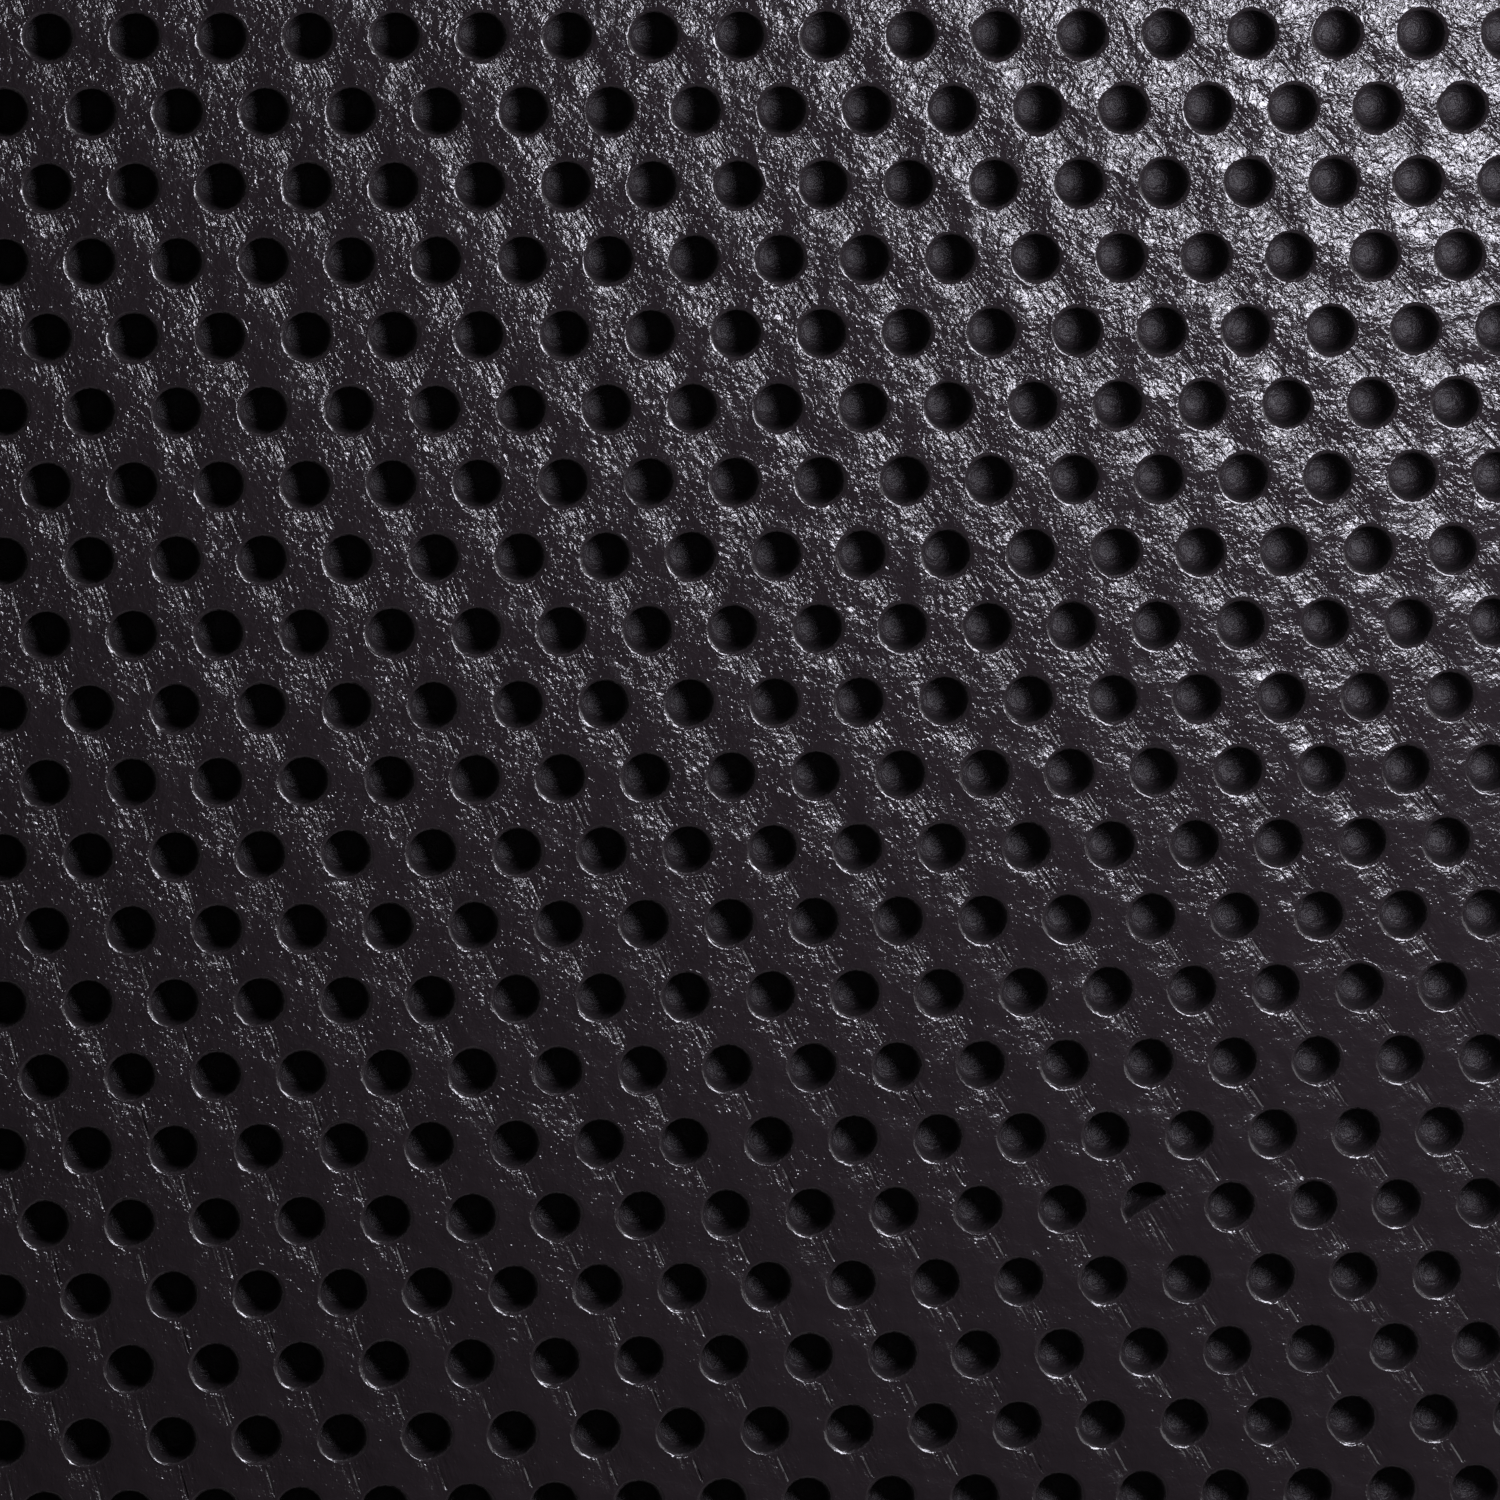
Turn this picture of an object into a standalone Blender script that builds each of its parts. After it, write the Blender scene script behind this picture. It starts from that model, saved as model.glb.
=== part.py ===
"""Door mat: a moulded rubber sheet whose cut edge is bound with four mitred lengths of woven tape.

Each length of tape is folded over the edge of the sheet and sewn through all three layers with a
lockstitch, whose needle thread lies on the top lip and whose bobbin thread lies under the bottom lip.
The mat lies flat on Z = 0, centred on the origin, with its length along X.
"""

import math

import bmesh
import bpy

# The whole mat, measured over the binding.
MAT_LENGTH = 0.600
MAT_WIDTH = 0.400

# The moulded sheet.
SHEET_THICKNESS = 0.009
SHEET_EDGE_RADIUS = 0.001

# The woven binding tape, folded to a C over the edge of the sheet.
TAPE_THICKNESS = 0.0015
LIP_WIDTH = 0.022

# The seam: both threads run along the lips, sunk in the furrow that the stitches pull into the tape.
THREAD_DIAMETER = 0.0005
SEAM_FROM_LIP_EDGE = 0.0045
SEAM_END_FROM_MITRE = 0.002
THREAD_BELOW_TAPE_FACE = 0.0001

# Pieces that touch on the real mat are modelled this far apart.
FIT_GAP = 0.0003

ARC_STEPS = 6
THREAD_BEVEL_RESOLUTION = 2

SHEET_INSET = TAPE_THICKNESS + FIT_GAP
MAT_HEIGHT = SHEET_THICKNESS + 2 * SHEET_INSET
FOLD_INNER_RADIUS = SHEET_EDGE_RADIUS + FIT_GAP
FOLD_OUTER_RADIUS = FOLD_INNER_RADIUS + TAPE_THICKNESS
FURROW_WIDTH = THREAD_DIAMETER + 2 * FIT_GAP
FURROW_DEPTH = THREAD_DIAMETER + FIT_GAP + THREAD_BELOW_TAPE_FACE
SEAM_INSET = LIP_WIDTH - SEAM_FROM_LIP_EDGE

# Side name, its turn about Z in degrees, its length, and how far its outer edge is from the centre.
SIDES = (
    ("front", 0, MAT_LENGTH, MAT_WIDTH / 2),
    ("right", 90, MAT_WIDTH, MAT_LENGTH / 2),
    ("back", 180, MAT_LENGTH, MAT_WIDTH / 2),
    ("left", 270, MAT_WIDTH, MAT_LENGTH / 2),
)


def clear_scene():
    for obj in list(bpy.data.objects):
        bpy.data.objects.remove(obj, do_unlink=True)


def principled(name, colour, roughness):
    material = bpy.data.materials.new(name)
    material.use_nodes = True
    shader = material.node_tree.nodes["Principled BSDF"]
    shader.inputs["Base Color"].default_value = (*colour, 1)
    shader.inputs["Roughness"].default_value = roughness
    shader.inputs["Metallic"].default_value = 0
    return material


def add_object(name, data, material):
    obj = bpy.data.objects.new(name, data)
    data.materials.append(material)
    bpy.context.scene.collection.objects.link(obj)
    return obj


def mesh_object(name, bm, material):
    bmesh.ops.recalc_face_normals(bm, faces=bm.faces)
    mesh = bpy.data.meshes.new(name)
    bm.to_mesh(mesh)
    bm.free()
    mesh.shade_smooth()
    mesh.set_sharp_from_angle(angle=math.radians(30))
    return add_object(name, mesh, material)


def place_on_side(obj, turn, distance):
    """Puts an object made along X, with the mat's inside at +Y, on one side of the mat."""
    angle = math.radians(turn)
    obj.rotation_euler = (0, 0, angle)
    obj.location = (distance * math.sin(angle), -distance * math.cos(angle), 0)


def arc(centre, radius, start, end):
    """Points (inset, height) on an arc, its angles in degrees from the inward direction."""
    points = []
    for step in range(ARC_STEPS + 1):
        angle = math.radians(start + (end - start) * step / ARC_STEPS)
        points.append((centre[0] + radius * math.cos(angle), centre[1] + radius * math.sin(angle)))
    return points


def bridge(bm, loops):
    """Joins each loop of vertices to the next one with quads."""
    for lower, upper in zip(loops, loops[1:]):
        for i in range(len(lower)):
            j = (i + 1) % len(lower)
            bm.faces.new((lower[i], lower[j], upper[j], upper[i]))


def make_sheet(material):
    """The moulded sheet as a plain slab, its long edges rounded so that the tape folds round them."""
    low = SHEET_INSET
    high = SHEET_INSET + SHEET_THICKNESS
    radius = SHEET_EDGE_RADIUS
    edge = arc((radius, low + radius), radius, 270, 180) + arc((radius, high - radius), radius, 180, 90)

    bm = bmesh.new()
    loops = []
    for inset, height in edge:
        half_x = MAT_LENGTH / 2 - SHEET_INSET - inset
        half_y = MAT_WIDTH / 2 - SHEET_INSET - inset
        corners = ((-half_x, -half_y), (half_x, -half_y), (half_x, half_y), (-half_x, half_y))
        loops.append([bm.verts.new((x, y, height)) for x, y in corners])
    bridge(bm, loops)
    bm.faces.new(loops[0][::-1])
    bm.faces.new(loops[-1])
    return mesh_object("dimpled_sheet", bm, material)


def binding_profile():
    """The folded tape's section as (inset, height) points, from the bottom lip round to the top lip."""
    fold_low = (FOLD_OUTER_RADIUS, FOLD_OUTER_RADIUS)
    fold_high = (FOLD_OUTER_RADIUS, MAT_HEIGHT - FOLD_OUTER_RADIUS)
    furrow_out = SEAM_INSET - FURROW_WIDTH / 2
    furrow_in = SEAM_INSET + FURROW_WIDTH / 2
    furrow_low = FURROW_DEPTH
    furrow_high = MAT_HEIGHT - FURROW_DEPTH

    outside = [
        (LIP_WIDTH, 0),
        (furrow_in, 0),
        (furrow_in, furrow_low),
        (furrow_out, furrow_low),
        (furrow_out, 0),
        *arc(fold_low, FOLD_OUTER_RADIUS, 270, 180),
        *arc(fold_high, FOLD_OUTER_RADIUS, 180, 90),
        (furrow_out, MAT_HEIGHT),
        (furrow_out, furrow_high),
        (furrow_in, furrow_high),
        (furrow_in, MAT_HEIGHT),
        (LIP_WIDTH, MAT_HEIGHT),
    ]
    inside = [
        (LIP_WIDTH, MAT_HEIGHT - TAPE_THICKNESS),
        *arc(fold_high, FOLD_INNER_RADIUS, 90, 180),
        *arc(fold_low, FOLD_INNER_RADIUS, 180, 270),
        (LIP_WIDTH, TAPE_THICKNESS),
    ]
    return outside + inside


def make_binding(side, turn, length, distance, material):
    """One length of tape, cut at both ends to the mitre plane, half the gap back from it."""
    back_from_mitre = FIT_GAP / 2 * math.sqrt(2)
    bm = bmesh.new()
    ends = []
    for direction in (-1, 1):
        verts = []
        for inset, height in binding_profile():
            reach = length / 2 - inset - back_from_mitre
            verts.append(bm.verts.new((direction * reach, inset, height)))
        ends.append(verts)
    bridge(bm, ends)
    bm.faces.new(ends[0][::-1])
    bm.faces.new(ends[1])
    place_on_side(mesh_object(f"binding_{side}", bm, material), turn, distance)


def make_thread(name, turn, length, distance, height, material):
    """One thread of the seam, lying straight along a lip and cut off short of the mitre."""
    reach = length / 2 - SEAM_INSET - SEAM_END_FROM_MITRE
    curve = bpy.data.curves.new(name, "CURVE")
    curve.dimensions = "3D"
    curve.bevel_depth = THREAD_DIAMETER / 2
    curve.bevel_resolution = THREAD_BEVEL_RESOLUTION
    curve.use_fill_caps = True
    spline = curve.splines.new("POLY")
    spline.points.add(1)
    spline.points[0].co = (-reach, SEAM_INSET, height, 1)
    spline.points[1].co = (reach, SEAM_INSET, height, 1)
    place_on_side(add_object(name, curve, material), turn, distance)


def main():
    clear_scene()
    rubber = principled("moulded_rubber", (0.018, 0.016, 0.019), 0.45)
    tape = principled("woven_tape", (0.023, 0.022, 0.025), 0.8)
    thread = principled("sewing_thread", (0.035, 0.034, 0.038), 0.6)

    make_sheet(rubber)
    thread_depth = FURROW_DEPTH - FIT_GAP - THREAD_DIAMETER / 2
    for side, turn, length, distance in SIDES:
        make_binding(side, turn, length, distance, tape)
        needle_height = MAT_HEIGHT - thread_depth
        make_thread(f"needle_thread_{side}", turn, length, distance, needle_height, thread)
        make_thread(f"bobbin_thread_{side}", turn, length, distance, thread_depth, thread)


main()
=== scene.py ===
"""The looks of a door mat: a dimpled moulded sheet, its woven edge binding and its lockstitch."""

import math

import bpy
import numpy as np
from mathutils import Matrix, Vector
from mathutils.geometry import delaunay_2d_cdt


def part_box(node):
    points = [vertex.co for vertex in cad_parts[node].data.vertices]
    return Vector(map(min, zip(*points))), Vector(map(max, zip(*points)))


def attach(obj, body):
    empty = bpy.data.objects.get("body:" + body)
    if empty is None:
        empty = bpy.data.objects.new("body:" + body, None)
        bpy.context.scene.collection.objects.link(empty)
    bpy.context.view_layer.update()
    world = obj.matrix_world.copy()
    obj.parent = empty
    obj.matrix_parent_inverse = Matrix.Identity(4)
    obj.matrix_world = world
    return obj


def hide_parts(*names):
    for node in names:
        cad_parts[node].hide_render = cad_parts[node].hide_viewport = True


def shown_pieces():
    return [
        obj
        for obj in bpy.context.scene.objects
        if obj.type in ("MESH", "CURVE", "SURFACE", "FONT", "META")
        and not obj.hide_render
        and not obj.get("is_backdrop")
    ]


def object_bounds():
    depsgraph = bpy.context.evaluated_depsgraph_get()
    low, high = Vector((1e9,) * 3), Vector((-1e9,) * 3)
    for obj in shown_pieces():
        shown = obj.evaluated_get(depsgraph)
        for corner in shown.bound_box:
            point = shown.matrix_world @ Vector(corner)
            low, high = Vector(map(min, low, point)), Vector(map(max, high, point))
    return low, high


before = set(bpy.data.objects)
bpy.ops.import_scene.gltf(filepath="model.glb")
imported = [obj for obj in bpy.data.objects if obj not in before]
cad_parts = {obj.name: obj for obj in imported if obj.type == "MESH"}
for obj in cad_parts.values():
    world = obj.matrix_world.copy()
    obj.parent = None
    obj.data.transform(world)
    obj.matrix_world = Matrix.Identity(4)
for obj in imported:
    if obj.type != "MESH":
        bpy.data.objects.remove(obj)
cad_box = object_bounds()


# --- The moulded sheet ----------------------------------------------------------------------------
# One injection moulding in black thermoplastic rubber. Its face is a hexagonal field of blind round
# dimples, left by round-nosed core pins, and behind each pin the melt closed again in a knit line.

MM = 0.001  # sizes are in mm until a mesh is made

PITCH = 10.0
ROW_PITCH = PITCH * math.sqrt(3) / 2
ROWS = 40
DIMPLES_IN_LONG_ROW = 55
GATE = np.array([0.0, 248.0])  # where the melt came in, on the trim cut away behind the back edge

DIMPLE_RADIUS = 2.7
RIM_RADIUS = 0.58
WALL_DRAFT = 0.12  # how much narrower the pin is where its round nose begins
WALL_DEPTH = 3.6
NOSE_DEPTH = 2.2
ROUND_STEPS = 20
RIM_STEPS = 3
NOSE_STEPS = 3

# The knit lines are fine grooves, each along the floor of a broad, shallow sink.
KNIT_HALF_WIDTH = 0.2
KNIT_DEPTH = 0.1
KNIT_LONGEST = 6.0
KNIT_STATIONS = np.array([0.14, 0.5, 0.86])  # where the groove has points, as shares of its length
START_GAP = 0.04  # land left between a rim and the groove that starts at it
HALF_PIN_START_GAP = 0.06
END_GAP = 0.05  # and between a groove and the next rim

KNIT_SINK_DEPTH = 0.29
KNIT_SINK_SPREAD = 2.0
SINK_STARTS, SINK_GROWS_OVER = 0.5, 2.0  # distances down the line from the dimple's centre
SINK_ENDS, SINK_FADES_OVER = 0.95 * PITCH, 3.0

# The one pin of the mould that was dressed back to a half round: its row, its place in the row, and
# the direction in which its flat faces, in degrees.
HALF_PIN_ROW = 6
HALF_PIN_PLACE = 49
HALF_PIN_FLAT_FACES = -58
HALF_PIN_FLAT_FROM_CENTRE = -0.35
HALF_PIN_HUB_SHIFT = 0.45  # how far its deepest point moves from the flat, as a share of the rim

# Slow waves across the land, each with its two wave numbers per mm and its phase.
SWELL_HEIGHT = 0.018
SWELL_WAVES = ((0.52, 0.23, 0.3), (-0.31, 0.60, 1.9), (0.83, -0.47, 4.1), (0.17, 0.95, 2.6))
CALM_EDGE = 20.0  # the land's waves die out over this width along the sheet's edge

SHEET_EDGE_STEPS_X = 60
SHEET_EDGE_STEPS_Y = 40
SHEET_EDGE_RADIUS = 1.0
SHEET_EDGE_ARC_STEPS = 3

# Each dimple and those that the melt could reach from it, as half pitches across and rows up.
NEIGHBOUR_STEPS = [
    (half_step, row_step)
    for row_step in (-2, -1, 0, 1, 2)
    for half_step in range(-4, 5)
    if (row_step + half_step) % 2 == 0
]


def turned(vectors):
    """Each 2D vector turned a quarter turn anticlockwise."""
    return np.stack([-vectors[..., 1], vectors[..., 0]], -1)


def dimple_centres():
    centres = []
    for row in range(ROWS):
        shift = row % 2
        for place in range(DIMPLES_IN_LONG_ROW - shift):
            x = (place - (DIMPLES_IN_LONG_ROW - 1 - shift) / 2) * PITCH
            centres.append((x, (row - (ROWS - 1) / 2) * ROW_PITCH))
    return np.array(centres)


def melt_direction(points):
    away = points - GATE
    return away / np.linalg.norm(away, axis=-1, keepdims=True)


def swell(points):
    """The slow waves of the land, in mm, as the moulding shrank unevenly."""
    x, y = points[..., 0], points[..., 1]
    return SWELL_HEIGHT * sum(np.sin(a * x + b * y + c) for a, b, c in SWELL_WAVES)


def knit_sink(points):
    """Depth of the broad, shallow sink along each knit line, which fades in and out along it."""
    depth = np.zeros(points.shape[:-1])
    row = np.rint(points[..., 1] / ROW_PITCH + (ROWS - 1) / 2)
    for row_step in (-1, 0, 1, 2):
        at_row = row + row_step
        shift = np.mod(at_row, 2)
        offset = (DIMPLES_IN_LONG_ROW - 1 - shift) / 2
        place = np.rint(points[..., 0] / PITCH + offset)
        for place_step in (-1, 0, 1):
            x = (place + place_step - offset) * PITCH
            y = (at_row - (ROWS - 1) / 2) * ROW_PITCH
            centre = np.stack([x, y], -1)
            along = melt_direction(centre)
            gap = points - centre
            down = (gap * along).sum(-1)
            across = (gap * turned(along)).sum(-1)
            grown = np.clip((down - SINK_STARTS) / SINK_GROWS_OVER, 0, 1)
            fade = np.clip((SINK_ENDS - down) / SINK_FADES_OVER, 0, 1)
            depth += grown * fade * np.exp(-((across / KNIT_SINK_SPREAD) ** 2))
    return KNIT_SINK_DEPTH * depth


def land_height(points):
    return swell(points) - knit_sink(points)


def dimple_profile():
    """Rings of a dimple from the land down: radius, height, and the wall's slope in degrees."""
    rings = []
    for step in range(RIM_STEPS + 1):
        slope = 90 * step / RIM_STEPS
        angle = math.radians(slope)
        reach = DIMPLE_RADIUS + RIM_RADIUS * (1 - math.sin(angle))
        rings.append((reach, -RIM_RADIUS * (1 - math.cos(angle)), slope))
    nose_radius = DIMPLE_RADIUS - WALL_DRAFT
    for step in range(NOSE_STEPS):
        angle = math.radians(90 * step / NOSE_STEPS)
        tilt = math.atan2(math.cos(angle) / nose_radius, math.sin(angle) / NOSE_DEPTH)
        height = -WALL_DEPTH - NOSE_DEPTH * math.sin(angle)
        rings.append((nose_radius * math.cos(angle), height, math.degrees(tilt)))
    return rings


def hole_outlines(centres, outer):
    """The rim outline of every dimple, each point's outward direction, and its deepest point."""
    angles = 2 * np.pi * np.arange(ROUND_STEPS) / ROUND_STEPS
    round_ring = np.stack([np.cos(angles), np.sin(angles)], -1)
    offsets = np.tile(outer * round_ring, (len(centres), 1, 1))
    outward = np.tile(round_ring, (len(centres), 1, 1))
    hubs = centres.copy()

    flat_angle = math.radians(HALF_PIN_FLAT_FACES)
    faces = np.array([math.cos(flat_angle), math.sin(flat_angle)])
    flat_at = HALF_PIN_FLAT_FROM_CENTRE + RIM_RADIUS
    beyond = (offsets[half_pin] @ faces) - flat_at
    offsets[half_pin] -= np.outer(np.clip(beyond, 0, None), faces)
    outward[half_pin][beyond > 0] = faces
    hubs[half_pin] -= HALF_PIN_HUB_SHIFT * outer * faces
    return centres[:, None] + offsets, outward, hubs


def knit_lines(centres, outer):
    """Start and end of each knit line, from its dimple downstream until the melt had healed."""
    clear = outer + KNIT_HALF_WIDTH + END_GAP
    along = melt_direction(centres)
    start = np.full(len(centres), outer + START_GAP)
    start[half_pin] = HALF_PIN_FLAT_FROM_CENTRE + RIM_RADIUS + HALF_PIN_START_GAP
    end = start + KNIT_LONGEST
    for half_step, row_step in NEIGHBOUR_STEPS:
        gap = np.array([half_step * PITCH / 2, row_step * ROW_PITCH])
        down = along @ gap
        aside = turned(along) @ gap
        meets = (down > 0) & (np.abs(aside) < clear)
        hit = down - np.sqrt(np.clip(clear**2 - aside**2, 0, None))
        end = np.where(meets, np.minimum(end, hit + KNIT_HALF_WIDTH), end)
    return along, start, end


def edge_points(half_x, half_y):
    """Points round a rectangle, anticlockwise from its front left corner, as many on every loop."""
    across = np.linspace(-1, 1, SHEET_EDGE_STEPS_X, endpoint=False)
    up = np.linspace(-1, 1, SHEET_EDGE_STEPS_Y, endpoint=False)
    one_x, one_y = np.ones_like(across), np.ones_like(up)
    sides = [
        np.stack([across, -one_x], -1),
        np.stack([one_y, up], -1),
        np.stack([-across, one_x], -1),
        np.stack([-one_y, -up], -1),
    ]
    return np.concatenate(sides) * (half_x, half_y)


low, high = (np.array(corner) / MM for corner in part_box("dimpled_sheet"))
half_x, half_y = high[:2]
land_z, floor_z = high[2], low[2]

centres = dimple_centres()
half_pin = HALF_PIN_ROW * DIMPLES_IN_LONG_ROW - HALF_PIN_ROW // 2 + HALF_PIN_PLACE
profile = dimple_profile()
outer = profile[0][0]
outlines, outward, hubs = hole_outlines(centres, outer)
along, knit_start, knit_end = knit_lines(centres, outer)
across = turned(along)

# The plan of the land: rims, knit grooves (outline points, then points on the line itself), a point
# in the middle of each three dimples, and the sheet's edge.
reach = knit_start[:, None] + (knit_end - knit_start)[:, None] * KNIT_STATIONS
on_line = centres[:, None] + along[:, None] * reach[..., None]
left = on_line + across[:, None] * KNIT_HALF_WIDTH
right = on_line - across[:, None] * KNIT_HALF_WIDTH
tip_in = (centres + along * knit_start[:, None])[:, None]
tip_out = (centres + along * knit_end[:, None])[:, None]
groove_outlines = np.concatenate([tip_in, right, tip_out, left[:, ::-1]], 1)

CLEAR_ASIDE, CLEAR_BEYOND = 0.6, 0.5  # how clear of the grooves the middle points stay
third = (0, PITCH / math.sqrt(3))
middles = np.concatenate([centres + third, centres - third])
free = np.ones(len(middles), bool)
for half_step, row_step in NEIGHBOUR_STEPS:
    hub = np.concatenate([centres, centres]) + (half_step * PITCH / 2, row_step * ROW_PITCH)
    flow = melt_direction(hub)
    down = ((middles - hub) * flow).sum(-1)
    aside = ((middles - hub) * turned(flow)).sum(-1)
    beside = (down > 0) & (down < outer + KNIT_LONGEST + CLEAR_BEYOND)
    free &= ~(beside & (np.abs(aside) < CLEAR_ASIDE))
middles = middles[free]

edge = edge_points(half_x - SHEET_EDGE_RADIUS, half_y - SHEET_EDGE_RADIUS)
parts = [part.reshape(-1, 2) for part in (outlines, groove_outlines, on_line, middles, edge)]
plan = np.concatenate(parts)
first_groove, first_line, first_middle, first_edge = np.cumsum([len(part) for part in parts])[:4]


def closed_edges(first, count, length):
    """Edges round each of count closed outlines of length points, numbered from first."""
    start = first + np.arange(count)[:, None] * length
    here = start + np.arange(length)
    return np.stack([here, start + (np.arange(length) + 1) % length], -1).reshape(-1, 2)


groove_points = groove_outlines.shape[1]
line_points = np.arange(first_line, first_middle).reshape(len(centres), -1)
fences = np.concatenate([
    closed_edges(0, len(centres), ROUND_STEPS),
    closed_edges(first_groove, len(centres), groove_points),
    np.stack([line_points[:, :-1], line_points[:, 1:]], -1).reshape(-1, 2),
    closed_edges(first_edge, 1, len(edge)),
])
found = delaunay_2d_cdt([Vector(p) for p in plan], fences.tolist(), [], 1, 1e-5)
triangles = np.array(found[2])
if len(found[0]) != len(plan):
    raise ValueError(f"the land's outlines cross: {len(found[0])} points from {len(plan)}")
rim_of = np.where(triangles < first_groove, triangles // ROUND_STEPS, -1)
in_hole = (rim_of[:, 0] >= 0) & (rim_of[:, 0] == rim_of[:, 1]) & (rim_of[:, 0] == rim_of[:, 2])
triangles = triangles[~in_hole]
in_groove = ((triangles >= first_line) & (triangles < first_middle)).any(1)

# Heights and shading directions of the land. A pit share of 0 is land and 1 is the inside of a
# dimple, and from SMOOTH_SHARE up the skin has no wrinkles.
SMOOTH_SHARE = 0.45
near_edge = np.clip((np.array([half_x, half_y]) - np.abs(plan)).min(1) / CALM_EDGE, 0, 1)
level = land_height(plan) * near_edge
level[first_line:first_middle] -= KNIT_DEPTH
SLOPE_STEP = 0.05
rise_x, rise_y = (
    land_height(plan + step) - land_height(plan - step)
    for step in ((SLOPE_STEP, 0), (0, SLOPE_STEP))
)
slopes = np.stack([rise_x, rise_y], -1) / (2 * SLOPE_STEP) * near_edge[:, None]
land_normals = np.concatenate([-slopes, np.ones((len(plan), 1))], 1)

verts = [np.concatenate([plan, (land_z + level)[:, None]], 1)]
normals = [land_normals]
chart = [plan.copy()]
faces = [triangles]
pit_share = [np.zeros(len(plan))]
pit_share[0][first_line:first_middle] = SMOOTH_SHARE  # no wrinkles in the groove itself
rim_rows = np.arange(first_groove).reshape(-1, ROUND_STEPS)
rim_level = level[:first_groove].reshape(-1, ROUND_STEPS)
offsets = outlines - hubs[:, None]

# The rim, the wall and the round nose of every dimple, ring by ring from the land down.
total = len(plan)
above = rim_rows
for ring, (reach, height, slope) in enumerate(profile[1:], 1):
    share = ring / len(profile)
    points = hubs[:, None] + offsets * reach / outer
    z = land_z + rim_level * (1 - share) + height
    verts.append(np.concatenate([points, z[..., None]], -1).reshape(-1, 3))
    tilt = math.radians(slope)
    up = np.full((*z.shape, 1), math.cos(tilt))
    normals.append(np.concatenate([-outward * math.sin(tilt), up], -1).reshape(-1, 3))
    chart.append((hubs[:, None] + offsets * (1 - share)).reshape(-1, 2))
    pit_share.append(np.full(z.size, min(1.0, ring / 2)))
    below = total + np.arange(z.size).reshape(-1, ROUND_STEPS)
    total += z.size
    turn = np.roll(above, -1, 1), np.roll(below, -1, 1)
    faces.append(np.stack([above, turn[0], turn[1], below], -1).reshape(-1, 4))
    above = below
bottom = total + np.arange(len(centres))
total += len(centres)
verts.append(np.concatenate([hubs, np.full((len(hubs), 1), land_z - WALL_DEPTH - NOSE_DEPTH)], 1))
normals.append(np.tile((0.0, 0.0, 1.0), (len(hubs), 1)))
chart.append(hubs.copy())
pit_share.append(np.ones(len(hubs)))
tips = np.repeat(bottom[:, None], ROUND_STEPS, 1)
faces.append(np.stack([above, np.roll(above, -1, 1), tips], -1).reshape(-1, 3))

# The rounded edge of the sheet, its side, and the underside.
loop = first_edge + np.arange(len(edge))
unrolled = 0.0
last = (SHEET_EDGE_RADIUS, 0.0)
thickness = land_z - floor_z
bends = [(0, 90, 0.0), (90, 180, -(thickness - 2 * SHEET_EDGE_RADIUS))]
for start_angle, end_angle, drop in bends:
    for angle in np.radians(np.linspace(start_angle, end_angle, SHEET_EDGE_ARC_STEPS + 1)):
        inset = SHEET_EDGE_RADIUS * (1 - math.sin(angle))
        height = drop - SHEET_EDGE_RADIUS * (1 - math.cos(angle))
        if (inset, height) == (SHEET_EDGE_RADIUS, 0.0):
            continue
        unrolled += math.hypot(inset - last[0], height - last[1])
        last = (inset, height)
        points = edge_points(half_x - inset, half_y - inset)
        z = np.full((len(points), 1), land_z + height)
        verts.append(np.concatenate([points, z], 1))
        at_side = np.abs(points) > (half_x - inset - 1e-6, half_y - inset - 1e-6)
        outside = np.sign(points) * at_side
        outside /= np.linalg.norm(outside, axis=1, keepdims=True)
        up = np.full((len(points), 1), math.cos(angle))
        normals.append(np.concatenate([outside * math.sin(angle), up], 1))
        grown = unrolled - SHEET_EDGE_RADIUS
        chart.append(edge_points(half_x + grown, half_y + grown))
        pit_share.append(np.zeros(len(points)))
        lower = total + np.arange(len(points))
        total += len(points)
        faces.append(np.stack([lower, np.roll(lower, -1), np.roll(loop, -1), loop], -1))
        loop = lower

# The flat underside, a plain grid inside the last loop.
columns, rows = SHEET_EDGE_STEPS_X + 1, SHEET_EDGE_STEPS_Y + 1
grid = np.full((rows, columns), -1)
steps_x, steps_y = SHEET_EDGE_STEPS_X, SHEET_EDGE_STEPS_Y
grid[0, :-1] = loop[:steps_x]
grid[:-1, -1] = loop[steps_x:steps_x + steps_y]
grid[-1, :0:-1] = loop[steps_x + steps_y:2 * steps_x + steps_y]
grid[:0:-1, 0] = loop[2 * steps_x + steps_y:]
flat_x = np.linspace(-1, 1, columns)[1:-1] * (half_x - SHEET_EDGE_RADIUS)
flat_y = np.linspace(-1, 1, rows)[1:-1] * (half_y - SHEET_EDGE_RADIUS)
inner = np.stack(np.meshgrid(flat_x, flat_y), -1).reshape(-1, 2)
grid[1:-1, 1:-1] = (total + np.arange(len(inner))).reshape(rows - 2, columns - 2)
total += len(inner)
verts.append(np.concatenate([inner, np.full((len(inner), 1), floor_z)], 1))
normals.append(np.tile((0.0, 0.0, -1.0), (len(inner), 1)))
chart.append(inner.copy())
pit_share.append(np.zeros(len(inner)))
corners = [grid[:-1, :-1], grid[1:, :-1], grid[1:, 1:], grid[:-1, 1:]]
underside = np.stack(corners, -1).reshape(-1, 4)
faces.append(underside)


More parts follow.
